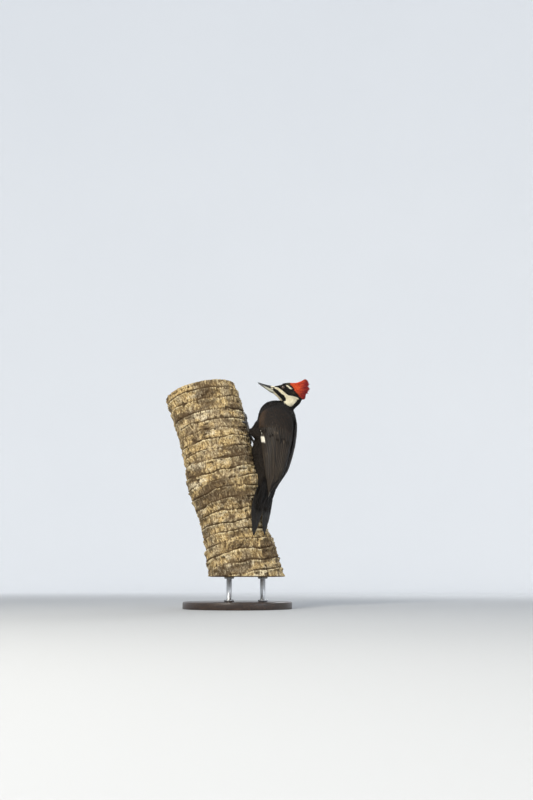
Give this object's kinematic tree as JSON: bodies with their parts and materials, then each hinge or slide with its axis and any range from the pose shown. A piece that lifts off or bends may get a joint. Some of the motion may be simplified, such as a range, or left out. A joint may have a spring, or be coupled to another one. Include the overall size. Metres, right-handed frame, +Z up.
{
  "type": "pileated woodpecker model",
  "caption": "Life-size model of a black woodpecker with a red crest, clinging to a cut length of palm trunk on a round base.",
  "frame": {"origin": "middle of the base's underside", "axes": "+Z up, -Y the front of the display; the bird faces -X and clings to the trunk's +X side"},
  "size_m": [0.3442, 0.248, 0.5309],
  "materials": {
    "base_wood": "dark oiled hardwood",
    "rod_steel": "brushed",
    "palm_bark": "dry weathered palm bark",
    "black_feathers": "matt black plumage, white stripes on the face and neck",
    "wing_feathers": "sooty brown-black flight feathers",
    "crest_feathers": "red plumage",
    "bill_horn_dark": "smooth slate horn",
    "bill_horn_pale": "smooth pale horn",
    "eye": "wet, glossy",
    "foot_skin": "scaly grey skin with dark claws"
  },
  "bodies": {
    "root": {"stand_base": "base_wood", "stand_rod_1": "rod_steel", "stand_rod_2": "rod_steel", "perch_trunk": "palm_bark", "torso": "black_feathers", "neck": "black_feathers", "head": "black_feathers", "crest": "crest_feathers", "eye_left": "eye", "eye_right": "eye", "bill_upper": "bill_horn_dark", "bill_lower": "bill_horn_pale", "thigh_left": "black_feathers", "thigh_right": "black_feathers", "wing_left": "wing_feathers", "wing_right": "wing_feathers", "tail": "wing_feathers", "foot_left": "foot_skin", "foot_right": "foot_skin"}
  },
  "joints": []
}
